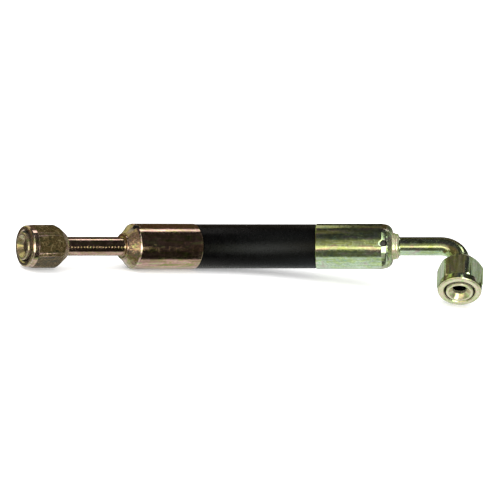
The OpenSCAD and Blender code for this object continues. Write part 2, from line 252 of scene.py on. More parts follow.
class Shader:
    """The node tree of a material or a world, built from calls that take values or other nodes' sockets."""

    def __init__(self, owner):
        self.owner = owner
        owner.use_nodes = True
        self.tree = owner.node_tree
        self.tree.nodes.clear()

    def add(self, kind, inputs=None, **settings):
        node = self.tree.nodes.new("ShaderNode" + kind)
        for key, value in settings.items():
            setattr(node, key, value)
        for key, value in (inputs or {}).items():
            if isinstance(value, bpy.types.NodeSocket):
                self.tree.links.new(value, node.inputs[key])
            else:
                node.inputs[key].default_value = value
        return node

    def straight(self):
        """The piece's own coordinates in mm, as if it lay straight along Z."""
        return self.add("Attribute", attribute_name="straight").outputs["Vector"]

    def scaled(self, vector, x, y, z):
        node = self.add("VectorMath", {0: vector, 1: (x, y, z)}, operation="MULTIPLY")
        return node.outputs[0]

    def noise(self, vector, scale, detail=2.0, roughness=0.5, distortion=0.0):
        values = {"Vector": vector, "Scale": scale, "Detail": detail,
                  "Roughness": roughness, "Distortion": distortion}
        return self.add("TexNoise", values).outputs["Fac"]

    def math(self, operation, a, b=0.0, clamp=False):
        node = self.add("Math", {0: a, 1: b}, operation=operation, use_clamp=clamp)
        return node.outputs[0]

    def weighted(self, a, share, b):
        """That share of a, and the rest of b."""
        return self.math("ADD", self.math("MULTIPLY", a, share), self.math("MULTIPLY", b, 1 - share))

    def sines(self, turns, waves):
        """Two sine waves round and along a piece, one to each hand: turns times round and waves per mm."""
        at = self.straight()
        around = self.add("TexGradient", {"Vector": at}, gradient_type="RADIAL").outputs["Fac"]
        length = self.add("SeparateXYZ", {0: at}).outputs["Z"]
        found = []
        for hand in (1, -1):
            lead = self.math("MULTIPLY", length, waves * hand)
            phase = self.math("ADD", self.math("MULTIPLY", around, turns), lead)
            found.append(self.math("SINE", self.math("MULTIPLY", phase, 2 * math.pi)))
        return found

    def dot(self, a, b):
        return self.add("VectorMath", {0: a, 1: b}, operation="DOT_PRODUCT").outputs["Value"]

    def remap(self, value, low, high, to_low, to_high):
        values = {"Value": value, "From Min": low, "From Max": high,
                  "To Min": to_low, "To Max": to_high}
        return self.add("MapRange", values).outputs[0]

    def within(self, value, low, high, soft):
        """1 between low and high, fading to 0 over soft on either side."""
        off_centre = self.math("ABSOLUTE", self.math("SUBTRACT", value, (low + high) / 2))
        half = (high - low) / 2
        return self.remap(off_centre, half, half + soft, 1.0, 0.0)

    def ramp(self, value, stops):
        node = self.add("ValToRGB", {"Fac": value})
        ramp = node.color_ramp
        while len(ramp.elements) < len(stops):
            ramp.elements.new(0.5)
        for element, (position, colour) in zip(ramp.elements, stops):
            element.position = position
            element.color = (*colour, 1)
        return node.outputs["Color"]

    def mix(self, factor, a, b, blend="MIX"):
        """Mixes two colours: the node's inputs 6 and 7 and its output 2 are those for colours."""
        node = self.add("Mix", {0: factor, 6: a, 7: b}, data_type="RGBA", blend_type=blend)
        return node.outputs[2]

    def bumps(self, *layers):
        """Lays bumps of (height, distance in mm) on one another, the first one lowest."""
        values = {}
        for height, distance in layers:
            values.update({"Height": height, "Distance": distance * MM, "Strength": 1.0})
            values["Normal"] = self.add("Bump", values).outputs["Normal"]
        return values["Normal"]

    def surface(self, **inputs):
        values = {key.replace("_", " "): value for key, value in inputs.items()}
        shader = self.add("BsdfPrincipled", values)
        self.add("OutputMaterial", {"Surface": shader.outputs[0]})
        return self.owner


def material_shader(name):
    return Shader(bpy.data.materials.new(name))


# ---------------------------------------------------------------- materials

# Colours of the plating, as stops along a noise.
STAINED = [(0.40, (0.016, 0.015, 0.006)), (0.46, (0.050, 0.041, 0.012)), (0.50, (0.058, 0.034, 0.012)),
           (0.54, (0.078, 0.057, 0.020)), (0.61, (0.20, 0.16, 0.075))]
FACED = [(0.40, (0.40, 0.54, 0.22)), (0.48, (0.64, 0.62, 0.40)), (0.55, (0.70, 0.52, 0.42)),
         (0.62, (0.62, 0.72, 0.46))]
BRONZE = [(0.36, (0.40, 0.44, 0.16)), (0.45, (0.52, 0.40, 0.25)), (0.53, (0.62, 0.40, 0.36)),
          (0.62, (0.50, 0.48, 0.28))]
YELLOW = [(0.36, (0.48, 0.66, 0.44)), (0.45, (0.58, 0.68, 0.30)), (0.53, (0.60, 0.72, 0.50)),
          (0.62, (0.64, 0.56, 0.46))]
# Near black, painted as shade into bores, threads and sight holes.
PAINTED_RECESS_SHADE = (0.018, 0.016, 0.014, 1)

COVER_BLACK = (0.0012, 0.0012, 0.0012)
TUBE_BLACK = (0.013, 0.012, 0.012)
WIRE_DARK = (0.02, 0.02, 0.02, 1)
WIRE_LIGHT = (0.16, 0.15, 0.14, 1)

# The cloth's print and the braid's wires are waves: so many round the hose, and so many per mm along it.
CLOTH_TURNS = 150.0
CLOTH_WAVES = 1.3
PLAIT_TURNS = 36.0
PLAIT_WAVES = 0.7


def plated(name, stops):
    """Yellow zinc plating on turned steel. A piece's "finish_and_shade" attribute holds three masks: x for
    dull stained faces, y for bores, threads and holes painted near black as their shade, and z for bright
    faced rims."""
    s = material_shader(name)
    at = s.straight()
    masks = s.add("Attribute", attribute_name="finish_and_shade").outputs["Vector"]
    dull, recess_shade, faced = s.add("SeparateXYZ", {0: masks}).outputs

    patches = s.noise(s.scaled(at, 1.0, 1.0, 0.4), 0.28, detail=3.0, roughness=0.6, distortion=0.8)
    streaks = s.noise(s.scaled(at, 1.0, 1.0, 0.12), 0.65, detail=3.0)
    haze = s.noise(at, 0.5, detail=4.0, roughness=0.7, distortion=1.2)

    cloudy = s.remap(haze, 0.35, 0.70, 0.75, 1.12)
    streaky = s.remap(streaks, 0.38, 0.62, 0.78, 1.15)
    stain = s.math("MULTIPLY", cloudy, streaky)
    stain = s.add("CombineColor", {0: stain, 1: stain, 2: stain}).outputs[0]
    tint = s.mix(1.0, s.ramp(s.weighted(patches, 0.7, streaks), stops), stain, blend="MULTIPLY")
    tint = s.mix(faced, tint, s.ramp(haze, FACED))
    tint = s.mix(dull, tint, s.ramp(s.weighted(streaks, 0.4, haze), STAINED))
    # Painted shade: bores, threads and sight holes get a near-black colour in place of the plating.
    tint = s.mix(recess_shade, tint, PAINTED_RECESS_SHADE)

    # A stained face is half metallic in its streaks and hardly elsewhere. A faced one keeps two thirds, and a
    # recess painted near black as shade none.
    metal = s.math("SUBTRACT", 1.0, s.math("MULTIPLY", dull, s.remap(streaks, 0.42, 0.58, 0.95, 0.50)))
    metal = s.math("SUBTRACT", metal, s.math("MULTIPLY", faced, 0.35))
    metal = s.math("MULTIPLY", metal, s.math("SUBTRACT", 1.0, recess_shade))
    rough = s.math("ADD", s.remap(haze, 0.40, 0.75, 0.10, 0.27), s.math("MULTIPLY", dull, 0.10))

    # Only a partly dull face, such as a shoulder, is lumpy.
    partly_dull = s.math("MULTIPLY", dull, s.math("SUBTRACT", 1.0, dull))
    uneven = s.math("MULTIPLY", partly_dull, 8.0, clamp=True)
    lumps = s.math("MULTIPLY", s.noise(at, 0.55, detail=2.0), uneven)
    waves = s.noise(at, 0.45, detail=1.0)
    turning = s.noise(s.scaled(at, 0.02, 0.02, 1.0), 3.2, detail=3.0, roughness=0.7)
    grain = s.noise(at, 1.0, detail=4.0, roughness=0.65)
    normal = s.bumps((lumps, 0.50), (waves, 0.02), (turning, 0.003), (grain, 0.020))
    return s.surface(Base_Color=tint, Metallic=metal, Roughness=rough, Normal=normal, Specular_IOR_Level=0.25)


def rubber(name, colour, roughness):
    """Black rubber with the faint print of the cloth that it was cured in."""
    s = material_shader(name)
    at = s.straight()
    weft, warp = s.sines(CLOTH_TURNS, CLOTH_WAVES)
    cloth = s.math("MULTIPLY", weft, warp)
    patches = s.noise(at, 0.25, detail=3.0)
    grain = s.noise(at, 3.0, detail=3.0)
    lighter = [c * 1.5 for c in colour]
    tint = s.mix(s.remap(patches, 0.35, 0.65, 0.0, 1.0), (*colour, 1), (*lighter, 1))
    rough = s.remap(patches, 0.3, 0.7, roughness * 0.85, roughness * 1.2)
    normal = s.bumps((cloth, 0.012), (grain, 0.02))
    return s.surface(Base_Color=tint, Roughness=rough, Normal=normal, Specular_IOR_Level=0.15)


def braided(name):
    """Steel wire, plaited in two directions."""
    s = material_shader(name)
    strands = [s.math("ABSOLUTE", wave) for wave in s.sines(PLAIT_TURNS, PLAIT_WAVES)]
    plait = s.math("MAXIMUM", strands[0], strands[1])
    tint = s.mix(plait, WIRE_DARK, WIRE_LIGHT)
    return s.surface(Base_Color=tint, Metallic=1.0, Roughness=0.35, Normal=s.bumps((plait, 0.15)))


bronze = plated("bronze_plating", BRONZE)
yellow = plated("yellow_plating", YELLOW)
cover_rubber = rubber("cover_rubber", COVER_BLACK, 0.25)
tube_rubber = rubber("tube_rubber", TUBE_BLACK, 0.5)
wire_braid = braided("wire_braid")

# ---------------------------------------------------------------- mesh helpers

FILLET_STEPS = 3                 # steps of a very small fillet; each mm of radius adds as many
FILLET_SHARE = 0.48              # the share of a side that one fillet may take
MERGE_GAP = 0.0005               # points closer than this become one
SHARP_ANGLE = math.radians(32)   # an edge that turns by more isn't shaded smooth
TURNED_SIDES = 128


def rounded(outline):
    """Expands an outline of (r, z) or (r, z, fillet) points: each fillet becomes an arc."""
    points = []
    for i, corner in enumerate(outline):
        here = Vector(corner[:2])
        if len(corner) < 3:
            points.append((here.x, here.y))
            continue
        before = Vector(outline[i - 1][:2]) - here
        after = Vector(outline[(i + 1) % len(outline)][:2]) - here
        half = before.angle(after) / 2
        room = FILLET_SHARE * min(before.length, after.length)
        reach = min(corner[2] / math.tan(half), room)
        fillet = reach * math.tan(half)
        centre = here + (before.normalized() + after.normalized()).normalized() * fillet / math.sin(half)
        start = here + before.normalized() * reach - centre
        end = here + after.normalized() * reach - centre
        first = math.atan2(start.y, start.x)
        turn = math.atan2(start.x * end.y - start.y * end.x, start.dot(end))
        steps = FILLET_STEPS + round(FILLET_STEPS * corner[2])
        for k in range(steps + 1):
            a = first + turn * k / steps
            points.append((centre.x + fillet * math.cos(a), centre.y + fillet * math.sin(a)))
    return points


def closed_grid(name, rows, straight=None):
    """A closed skin over rows of points in mm, wrapped both ways. straight holds their unbent places."""
    mesh = bpy.data.meshes.new(name)
    n, m = len(rows), len(rows[0])
    faces = []
    for i in range(n):
        for j in range(m):
            up, across = (i + 1) % n, (j + 1) % m
            faces.append((i * m + j, up * m + j, up * m + across, i * m + across))
    mesh.from_pydata([Vector(p) * MM for row in rows for p in row], [], faces)
    mark_straight(mesh, [p for row in straight for p in row] if straight else None)
    tidy(mesh)
    obj = bpy.data.objects.new(name, mesh)
    bpy.context.collection.objects.link(obj)
    return obj


def mark_straight(mesh, places=None):
    """Stores where each vertex lies, in mm, on the piece when it is straight: the shaders read it."""
    found = mesh.attributes.get("straight") or mesh.attributes.new("straight", "FLOAT_VECTOR", "POINT")
    if places is None:
        places = [v.co / MM for v in mesh.vertices]
    found.data.foreach_set("vector", [c for p in places for c in p])


def mark_finish_and_shade(mesh, mask):
    """Stores what mask gives for each vertex's place in mm: how far it is dull, painted near black as shade,
    and faced.
    """
    found = mesh.attributes.new("finish_and_shade", "FLOAT_VECTOR", "POINT")
    found.data.foreach_set("vector", [c for v in mesh.vertices for c in mask(v.co / MM)])


def tidy(mesh):
    """Merges points that fall together, turns the faces outward and shades by angle."""
    bm = bmesh.new()
    bm.from_mesh(mesh)
    bmesh.ops.remove_doubles(bm, verts=bm.verts, dist=MERGE_GAP * MM)
    bmesh.ops.recalc_face_normals(bm, faces=bm.faces)
    bm.to_mesh(mesh)
    bm.free()
    mesh.shade_smooth()
    mesh.set_sharp_from_angle(angle=SHARP_ANGLE)


def turned(name, outline, sides=TURNED_SIDES):
    """A turned piece: the outline of (r, z) points goes all the way round its own section."""
    points = rounded(outline)
    rows = []
    for i in range(sides):
        a = 2 * math.pi * i / sides
        rows.append([(r * math.cos(a), r * math.sin(a), z) for r, z in points])
    return closed_grid(name, rows)


def piece(obj, material, body, nodes, at=None):
    """Gives a finished piece its material, its place, its body and the CAD nodes that it stands for."""
    obj.data.materials.clear()
    obj.data.materials.append(material)
    if at:
        obj.matrix_world = at
    if body:
        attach(obj, body)
    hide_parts(*nodes)


# ---------------------------------------------------------------- finishes and painted shade

PLAIN_FACE = (0.0, 0.0, 0.0)
# A recess painted near black as its shade.
RECESS_SHADE_FACE = (0.0, 1.0, 0.0)
MASK_MARGIN = 0.05   # how far past a surface its mask still reaches


def dull_face(amount):
    return (amount, 0.0, 0.0)


def bright_face(amount):
    return (0.0, 0.0, amount)


def bright_past(z, amount):
    """The masks of a piece that is bright past z."""
    return lambda p: bright_face(amount) if p.z > z else PLAIN_FACE


# ---------------------------------------------------------------- crimped shells

# The last stretch of a barrel is a sloping band.
LEFT_BARREL_END = 35.8
RIGHT_BARREL_END = 35.6
LEFT_EDGE_SLOPE = math.radians(21)
RIGHT_EDGE_SLOPE = math.radians(11)
LEFT_EDGE_BAND = 0.9
RIGHT_EDGE_BAND = 1.9
EDGE_FILLET = 1.0

# The left shoulder starts with a low step. The right one is drawn in steps along its ellipse.
CONE_STEP_H = 0.25
CONE_STEP_LEN = 0.01
CONE_FILLET = 1.4
CONE_FOOT_FILLET = 0.3
SHOULDER_STEPS = 10

NECK_TAPER = 0.06
NECK_FILLET = 0.1
MOUTH_INNER_FILLET = 0.3
MOUTH_OUTER_FILLET = 0.45
SHELL_SIDES = 160

LEFT_SIGHT_TURN = math.radians(63)
DIMPLE_DEPTH = 0.3
DIMPLE_SLOPE = math.radians(11)
DIMPLE_FILLET = 0.3
DRILL_CORE_R = 0.01      # the drill is a ring: its outline stays clear of its own axis
DRILL_SIDES = 64

# How dull a shoulder is, and where a shell's masks change.
SHOULDER_DULL = 0.12
RIGHT_DULL_SETBACK = 0.6
BRIGHT_BEFORE_NECK = 0.3
HOLE_MARGIN = 0.02


def shell_outline(shoulder):
    """Outline of a crimped shell: its barrel, the points of its shoulder, a short neck and its bore."""
    hole_r = GROOVE_R + SWAGE
    return [(SHELL_BORE_R, 0, MOUTH_INNER_FILLET), (FERRULE_R, 0, MOUTH_OUTER_FILLET), *shoulder,
            (SHELL_NECK_R - NECK_TAPER, FERRULE_LEN, NECK_FILLET), (hole_r, FERRULE_LEN),
            (hole_r, SHELL_DEPTH), (SHELL_BORE_R, SHELL_DEPTH)]


def left_shoulder():
    """The barrel's edge slopes down a little over a narrow band, then the shoulder is a cone."""
    edge_r = FERRULE_R - LEFT_EDGE_BAND * math.tan(LEFT_EDGE_SLOPE)
    return [(FERRULE_R, LEFT_BARREL_END - LEFT_EDGE_BAND, EDGE_FILLET),
            (edge_r, LEFT_BARREL_END, EDGE_FILLET),
            (edge_r - CONE_STEP_H, LEFT_BARREL_END + CONE_STEP_LEN, CONE_FILLET),
            (SHELL_NECK_R + NECK_TAPER, FERRULE_LEN - LEFT_SHELL_NECK_LEN, CONE_FOOT_FILLET)]


def right_shoulder():
    """The barrel's edge slopes down a little over a wide band, then the shoulder is a quarter ellipse."""
    edge_r = FERRULE_R - RIGHT_EDGE_BAND * math.tan(RIGHT_EDGE_SLOPE)
    neck_r = SHELL_NECK_R + NECK_TAPER
    neck_z = FERRULE_LEN - RIGHT_SHELL_NECK_LEN
    wide = (edge_r - neck_r) / math.cos(RIGHT_EDGE_SLOPE)
    deep = (neck_z - RIGHT_BARREL_END) / (1 - math.sin(RIGHT_EDGE_SLOPE))
    points = [(FERRULE_R, RIGHT_BARREL_END - RIGHT_EDGE_BAND, EDGE_FILLET)]
    for i in range(SHOULDER_STEPS + 1):
        t = RIGHT_EDGE_SLOPE + (QUARTER_TURN - RIGHT_EDGE_SLOPE) * i / SHOULDER_STEPS
        points.append((neck_r + wide * math.cos(t), neck_z - deep * (1 - math.sin(t))))
    return points


def shell_finish_and_shade(dull_from, bright_from, sight_turn):
    """The masks of a shell: a partly dull shoulder, insides and drilled holes painted near black as shade,
    and a bright neck.
    """
    def mask(p):
        r = math.hypot(p.x, p.y)
        off_hole = math.hypot(p.x * math.cos(sight_turn) + p.y * math.sin(sight_turn), p.z - SIGHT_HOLE_Z)
        in_hole = off_hole < SIGHT_HOLE_R + HOLE_MARGIN
        in_bore = r < SHELL_BORE_R + MASK_MARGIN and p.z < SHELL_DEPTH + MASK_MARGIN
        # The bore and the sight holes are painted near black as shade.
        if in_hole or in_bore:
            return RECESS_SHADE_FACE
        if p.z > bright_from:
            return bright_face(1.0)
        return dull_face(SHOULDER_DULL) if p.z > dull_from else PLAIN_FACE
    return mask


def ferrule(name, outline, sight_turn, finish_and_shade):
    """The crimped shell, drilled across with its two sight holes, each in a shallow dimple."""
    shell = turned(name, outline, SHELL_SIDES)
    far = 2 * FERRULE_R
    dimple = FERRULE_R - DIMPLE_DEPTH
    rim = SIGHT_HOLE_R + (far - dimple) / math.tan(DIMPLE_SLOPE)
    drill = [(DRILL_CORE_R, -far), (rim, -far), (SIGHT_HOLE_R, -dimple, DIMPLE_FILLET),
             (SIGHT_HOLE_R, dimple, DIMPLE_FILLET), (rim, far), (DRILL_CORE_R, far)]
    hole = turned(name + "_drill", drill, DRILL_SIDES)
    lie_across = Matrix.Rotation(sight_turn, 4, "Z") @ Matrix.Rotation(QUARTER_TURN, 4, "X")
    hole.matrix_world = Matrix.Translation((0, 0, SIGHT_HOLE_Z * MM)) @ lie_across
    cut = shell.modifiers.new("drill", "BOOLEAN")
    cut.operation = "DIFFERENCE"
    cut.solver = "EXACT"
    cut.object = hole
    bpy.context.view_layer.update()
    mesh = bpy.data.meshes.new_from_object(shell.evaluated_get(bpy.context.evaluated_depsgraph_get()))
    shell.modifiers.clear()
    shell.data = mesh
    bpy.data.objects.remove(hole)
    mark_straight(mesh)
    mark_finish_and_shade(mesh, finish_and_shade)
    tidy(mesh)
    return shell


right_dull_from = RIGHT_BARREL_END + RIGHT_DULL_SETBACK
right_bright_from = FERRULE_LEN - RIGHT_SHELL_NECK_LEN - BRIGHT_BEFORE_NECK
left_mask = shell_finish_and_shade(LEFT_BARREL_END, math.inf, LEFT_SIGHT_TURN)
right_mask = shell_finish_and_shade(right_dull_from, right_bright_from, RIGHT_SIGHT_TURN)
left_shell = ferrule("left_shell", shell_outline(left_shoulder()), LEFT_SIGHT_TURN, left_mask)
right_shell = ferrule("right_shell", shell_outline(right_shoulder()), RIGHT_SIGHT_TURN, right_mask)
piece(left_shell, bronze, "left_end", ["left_ferrule"], at_left)
piece(right_shell, yellow, "right_end", ["right_ferrule"], at_right)

# ---------------------------------------------------------------- inserts and noses

# Where a barb rises, is at its full height and falls again, as shares of the pitch.
BARB_RISE = 0.2
BARB_CREST = 0.85
BARB_FALL = 0.95
BARB_FILLET = 0.1
ROOT_FILLET = 0.2
TIP_CHAMFER = 0.6
TIP_FILLET = 0.3
LAND_FILLET = 0.15

# The noses.
NOSE_BACK_FILLET = 0.3
NOSE_FRONT_FILLET = 0.45
SEAT_FILLET = 0.2
BORE_FILLET = 0.15
LEFT_NOSE_BRIGHT = 0.35

# The left stem's neck and collar.
RING_DEPTH = 0.02
RING_GROOVE = 0.4
RING_CROWN = 0.03
CREST_STEPS = 5
STEM_SIDES = 96
COLLAR_FILLET = 0.45
COLLAR_FOOT_FILLET = 0.3

# The right collar: a bead, a narrow groove and a rounded crown.
BEAD_LEN = 0.5
BEAD_TAPER = 0.05
BEAD_FILLET = 0.2
COLLAR_GROOVE_DEPTH = 0.5
COLLAR_GROOVE_REAR = 0.1
COLLAR_GROOVE_FRONT = 0.2
COLLAR_GROOVE_FILLET = 0.1
CROWN_DROP = 0.1
CROWN_END_DROP = 0.35
CROWN_END_LEN = 0.5
CROWN_FILLET = 0.6

# A braze fillet's gap to the tube, and its hollow as shares of its width and of its length.
BRAZE_GAP = 0.01
BRAZE_HOLLOW_R = 0.35
BRAZE_HOLLOW_Z = 0.3
BRAZE_HOLLOW_FILLET = 0.3


def barbs():
    """Outline of the barbed insert, from its tip to its locking groove."""
    root_r = BARB_R - BARB_H
    pitch = (LAND_Z - INSERT_TIP) / (BARB_COUNT + 0.5)   # half a pitch stays plain before the land
    outline = [(INSERT_BORE_R, INSERT_TIP), (root_r - TIP_CHAMFER, INSERT_TIP, ROOT_FILLET),
               (root_r, INSERT_TIP + TIP_CONE, TIP_FILLET)]
    for i in range(BARB_COUNT):
        z = INSERT_TIP + TIP_CONE + i * pitch
        outline += [(root_r, z + BARB_RISE * pitch, ROOT_FILLET),
                    (BARB_R, z + BARB_CREST * pitch, BARB_FILLET),
                    (BARB_R, z + BARB_FALL * pitch, BARB_FILLET),
                    (root_r, z + pitch, BARB_FILLET)]
    outline += [(root_r, LAND_Z, BARB_FILLET), (LAND_R, LAND_Z, LAND_FILLET), (LAND_R, SHELL_DEPTH),
                (GROOVE_R, SHELL_DEPTH), (GROOVE_R, FERRULE_LEN)]
    return outline


def nose(z, back_r, bore_r):
    """Outline of the flare nose from its back cone to its seat, with its front at z."""
    seat_r = NOSE_R - NOSE_RIM_W
    return [(back_r, z - NOSE_RIM_LEN - (NOSE_R - back_r)), (NOSE_R, z - NOSE_RIM_LEN, NOSE_BACK_FILLET),
            (NOSE_R, z, NOSE_FRONT_FILLET), (seat_r, z, SEAT_FILLET),
            (bore_r, z - (seat_r - bore_r), BORE_FILLET)]


def neck_rings():
    """Outline of the turned rings along the free neck: narrow grooves between low crowns."""
    rings = []
    for i in range(int(NECK_FREE_LEN / RING_PITCH)):
        z = LEFT_COLLAR_END + TIP_CONE + i * RING_PITCH
        rings.append((NECK_R - RING_DEPTH, z + RING_GROOVE / 2))
        for k in range(CREST_STEPS + 1):
            t = k / CREST_STEPS
            sag = RING_CROWN * (2 * t - 1) ** 2
            rings.append((NECK_R - sag, z + RING_GROOVE + t * (RING_PITCH - RING_GROOVE)))
    return rings


def left_stem():
    """One turned piece: barbed insert, collar, ringed neck and flare nose."""
    collar = [(COLLAR_R, FERRULE_LEN), (COLLAR_R, LEFT_COLLAR_END, COLLAR_FILLET),
              (NECK_R, LEFT_COLLAR_END, COLLAR_FOOT_FILLET)]
    front = nose(LEFT_FACE_Z + LEFT_NOSE_PROUD, NECK_R, INSERT_BORE_R)
    return turned("left_stem_turned", barbs() + collar + neck_rings() + front, STEM_SIDES)


def right_insert():
    """Barbed insert with a beaded collar and a socket for the tube."""
    groove_z = FERRULE_LEN + BEAD_LEN
    collar = [(COLLAR_R, FERRULE_LEN), (COLLAR_R - BEAD_TAPER, groove_z - COLLAR_GROOVE_REAR, BEAD_FILLET),
              (COLLAR_R - COLLAR_GROOVE_DEPTH, groove_z, COLLAR_GROOVE_FILLET),
              (COLLAR_R - CROWN_DROP, groove_z + COLLAR_GROOVE_FRONT, BEAD_FILLET),
              (COLLAR_R - CROWN_END_DROP, RIGHT_COLLAR_END - CROWN_END_LEN, CROWN_FILLET),
              (COLLAR_R - COLLAR_ROUND, RIGHT_COLLAR_END, BEAD_FILLET)]
    socket_end = RIGHT_COLLAR_END - INSERT_SOCKET
    socket = [(SOCKET_R, RIGHT_COLLAR_END), (SOCKET_R, socket_end), (INSERT_BORE_R, socket_end)]
    return turned("right_insert_turned", barbs() + collar + socket)


def right_nose():
    """The flare nose that is brazed over the end of the tube."""
    outline = nose(RIGHT_NOSE_D, NOSE_TAIL_R, TUBE_BORE_R)
    outline += [(TUBE_BORE_R, TUBE_END_D), (SOCKET_R, TUBE_END_D), (SOCKET_R, RIGHT_NOSE_BACK_D)]
    return turned("right_nose_turned", outline)


def braze(name, z, face_r, out):
    """Concave fillet of braze round the tube at z, which grows towards out (1 or -1)."""
    r_in = TUBE_R + BRAZE_GAP
    hollow_r = r_in + BRAZE_HOLLOW_R * (face_r - r_in)
    hollow_z = z + out * BRAZE_HOLLOW_Z * BRAZE_FILLET
    hollow = (hollow_r, hollow_z, BRAZE_HOLLOW_FILLET)
    return turned(name, [(r_in, z), (face_r, z), hollow, (r_in, z + out * BRAZE_FILLET)])


stem = left_stem()
mark_finish_and_shade(stem.data, bright_past(LEFT_FACE_Z - NOSE_RIM_LEN, LEFT_NOSE_BRIGHT))
piece(stem, bronze, "left_end", ["left_stem"], at_left)
collared_insert = right_insert()
mark_finish_and_shade(collared_insert.data, bright_past(FERRULE_LEN - MASK_MARGIN, 1.0))
piece(collared_insert, yellow, "right_end", ["right_insert"], at_right)
flared_nose = right_nose()
mark_finish_and_shade(flared_nose.data, bright_past(-math.inf, 1.0))
piece(flared_nose, yellow, "right_end", ["right_nose"], at_leg)
insert_fillet = braze("right_insert_fillet", RIGHT_COLLAR_END, COLLAR_R - COLLAR_ROUND, 1)
nose_fillet = braze("right_nose_fillet", RIGHT_NOSE_BACK_D, NOSE_TAIL_R, -1)
piece(insert_fillet, yellow, "right_end", ["right_insert_braze"], at_right)
piece(nose_fillet, yellow, "right_end", ["right_nose_braze"], at_leg)

# ---------------------------------------------------------------- swivel nuts

HEX_SIDES = 6
HEX_CORNER = math.radians(60)   # from one corner to the next
HEX_FILLET = 0.35
FLAT_STEPS = 14
HEX_STEP = 0.02                 # the hexagon starts at least this far behind the collar

# The left rim has a sloping band, and the right one is rounded.
LEFT_RIM_BAND = 0.45
LEFT_RIM_SLOPE = math.radians(21)
LEFT_RIM_FILLET = 0.8
LEFT_BAND_FILLET = 0.3
RIGHT_RIM_FILLET = 1.3

COLLAR_REAR_FILLET = 0.12
HEX_FRONT_FILLET = 0.2
HEX_REAR_FILLET = 0.5
NUT_REAR_FILLET = 0.35
NUT_HOLE_FILLET = 0.4
NUT_SEAT_FILLET = 0.2

# The thread. Half of its groove and one flank are shares of the pitch.
THREAD_MAJOR_R = 7.94
THREAD_PITCH = 1.411
HALF_GROOVE = 3 / 8
FLANK = 5 / 16
RUNOUT_TURNS = 1.5
THREAD_ROWS = 10

# Where a nut's masks change, how stained its clean rear still is, and how bright the left rim is.
SEAT_MARGIN = 0.15
NUT_HOLE_MARGIN = 0.1
COLLAR_MARGIN = 0.1
LEFT_CLEAN_LEN = 2.5
RIGHT_RIM_LEN = 0.7
CLEAN_SHARE = 0.3
LEFT_RIM_BRIGHT = 0.1


def fillet_angle(flat_r):
    """Angle from the middle of a flat to where the rounded corner starts."""
    return math.atan((flat_r - HEX_FILLET) * math.tan(HEX_CORNER / 2) / flat_r)


def hex_radius(angle, flat_r):
    """Radius of the rounded hexagon at an angle from one of its corners."""
    off = (angle + HEX_CORNER / 2) % HEX_CORNER - HEX_CORNER / 2
    from_flat = HEX_CORNER / 2 - abs(off)
    if from_flat < fillet_angle(flat_r):
        return flat_r / math.cos(from_flat)
    centre = (flat_r - HEX_FILLET) / math.cos(HEX_CORNER / 2)
    return centre * math.cos(off) + math.sqrt(HEX_FILLET ** 2 - (centre * math.sin(off)) ** 2)


def hex_angles(flat_r, collar_r):
    """Angles that fall on every corner, fillet edge and collar crossing of the hexagon."""
    tangent = fillet_angle(flat_r)
    crossing = math.acos(flat_r / collar_r)
    sector = [crossing * (2 * i / FLAT_STEPS - 1) for i in range(FLAT_STEPS + 1)]
    rise = [(crossing + tangent) / 2, tangent, (tangent + HEX_CORNER / 2) / 2]
    sector += rise + [HEX_CORNER / 2] + [HEX_CORNER - a for a in reversed(rise)]
    return [HEX_CORNER * (k + 0.5) + a for k in range(HEX_SIDES) for a in sector]


def thread(angle):
    """Outline of the internal thread at an angle, from its runout to its chamfered mouth."""
    rows = round(THREAD_DEPTH / THREAD_PITCH * THREAD_ROWS)
    points = []
    for i in range(rows):
        z = -THREAD_DEPTH * (1 - i / rows)
        phase = (z / THREAD_PITCH + angle / (2 * math.pi)) % 1
        tooth = min(max((HALF_GROOVE - abs(phase - 0.5)) / FLANK, 0), 1)
        runout = min(max((z + THREAD_DEPTH) / (RUNOUT_TURNS * THREAD_PITCH), 0), 1)
        r = THREAD_MINOR_R + (THREAD_MAJOR_R - THREAD_MINOR_R) * tooth * runout
        points.append((max(r, THREAD_MINOR_R + THREAD_LEAD + z), z))
    return points


def swivel_nut(name, flat_r, length, rim, rear_r, cone_len):
    """Swivel nut: round collar, hexagon, rear cone and a cut thread. rim holds the points of the collar's
    front edge, of which the last one lies on the collar."""
    collar_r = rim[-1][0]
    corner_r = flat_r / math.cos(HEX_CORNER / 2)
    rows = []
    for angle in hex_angles(flat_r, collar_r):
        flat = hex_radius(angle, flat_r)
        step = max(abs(flat - collar_r), HEX_STEP)
        cone = -length + cone_len * (flat - rear_r) / (corner_r - rear_r)
        outside = [
            (THREAD_MINOR_R + THREAD_LEAD, 0), *rim, (collar_r, -NUT_COLLAR_LEN, COLLAR_REAR_FILLET),
            (flat, -NUT_COLLAR_LEN - step, HEX_FRONT_FILLET), (flat, cone, HEX_REAR_FILLET),
            (rear_r, -length, NUT_REAR_FILLET), (NUT_HOLE_R, -length, NUT_HOLE_FILLET),
            (NUT_HOLE_R, -THREAD_DEPTH - NUT_SEAT_LEN, NUT_SEAT_FILLET)]
        outline = rounded(outside) + thread(angle)
        rows.append([(r * math.cos(angle), r * math.sin(angle), z) for r, z in outline])
    return closed_grid(name, rows)


def nut_finish_and_shade(stain, clean_from, rim_from, rim_bright):
    """The masks of a nut: a body that may be stained, less so behind clean_from, a thread painted dark as
    shade and a rim.
    """
    def mask(p):
        r = math.hypot(p.x, p.y)
        seat_end = -THREAD_DEPTH - NUT_SEAT_LEN - SEAT_MARGIN
        in_thread = r < THREAD_MAJOR_R + MASK_MARGIN and p.z > seat_end
        in_hole = r < NUT_HOLE_R + NUT_HOLE_MARGIN
        # The thread and the hole are painted near black as shade.
        if in_thread or in_hole:
            return RECESS_SHADE_FACE
        if p.z > rim_from:
            return bright_face(rim_bright)
        if p.z >= -NUT_COLLAR_LEN - COLLAR_MARGIN:
            return PLAIN_FACE
        return dull_face(stain if p.z > clean_from else CLEAN_SHARE * stain)
    return mask


